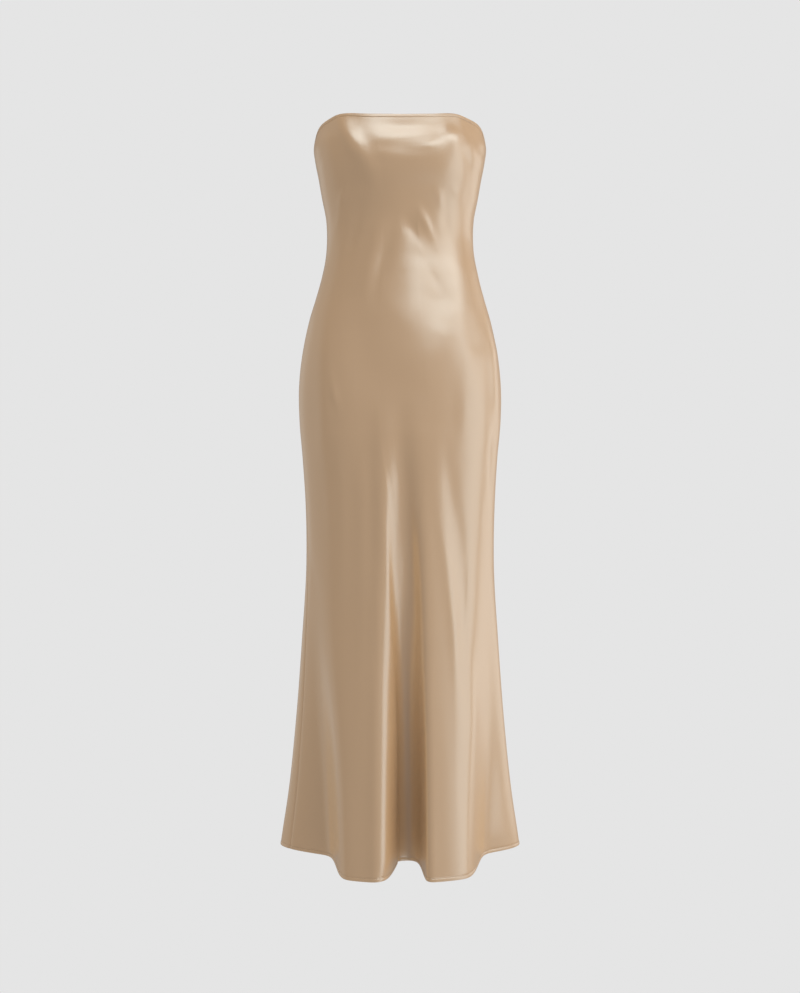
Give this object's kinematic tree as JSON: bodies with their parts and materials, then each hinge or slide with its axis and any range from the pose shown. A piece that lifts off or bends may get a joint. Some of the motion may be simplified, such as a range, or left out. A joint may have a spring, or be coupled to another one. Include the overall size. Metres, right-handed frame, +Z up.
{
  "type": "strapless maxi dress",
  "caption": "Bias-cut satin strapless maxi dress, filled out as worn: fitted bust, waist and hip, skirt falling into soft flutes, concealed back zip with a swinging pull tab.",
  "frame": {"origin": "middle of the bust ring, level with the tops of the side seams, where the wearer's bust holds the dress up", "axes": "+Z up, front faces -Y, +X is the wearer's left"},
  "size_m": [0.4067, 0.3671, 1.2275],
  "materials": {
    "satin": "champagne satin, glossy face and matt wrong side",
    "zip_tape": "woven tape",
    "zip_coil": "nylon coil",
    "zip_metal": "pale gold plate"
  },
  "bodies": {
    "root": {"front_panel": "satin", "back_panel_left": "satin", "back_panel_right": "satin", "top_binding": "satin", "zip_tape_left": "zip_tape", "zip_tape_right": "zip_tape", "zip_chain": "zip_coil", "zip_stop": "zip_metal", "zip_slider": "zip_metal"},
    "zip_pull": {"zip_pull": "zip_metal"}
  },
  "joints": [
    {"name": "zip_pull_swing", "type": "hinge", "parent": "root", "child": "zip_pull", "pos_m": [0, 0.08835, -0.0242], "axis": [1, 0, 0], "range_deg": [-4, 160]}
  ]
}
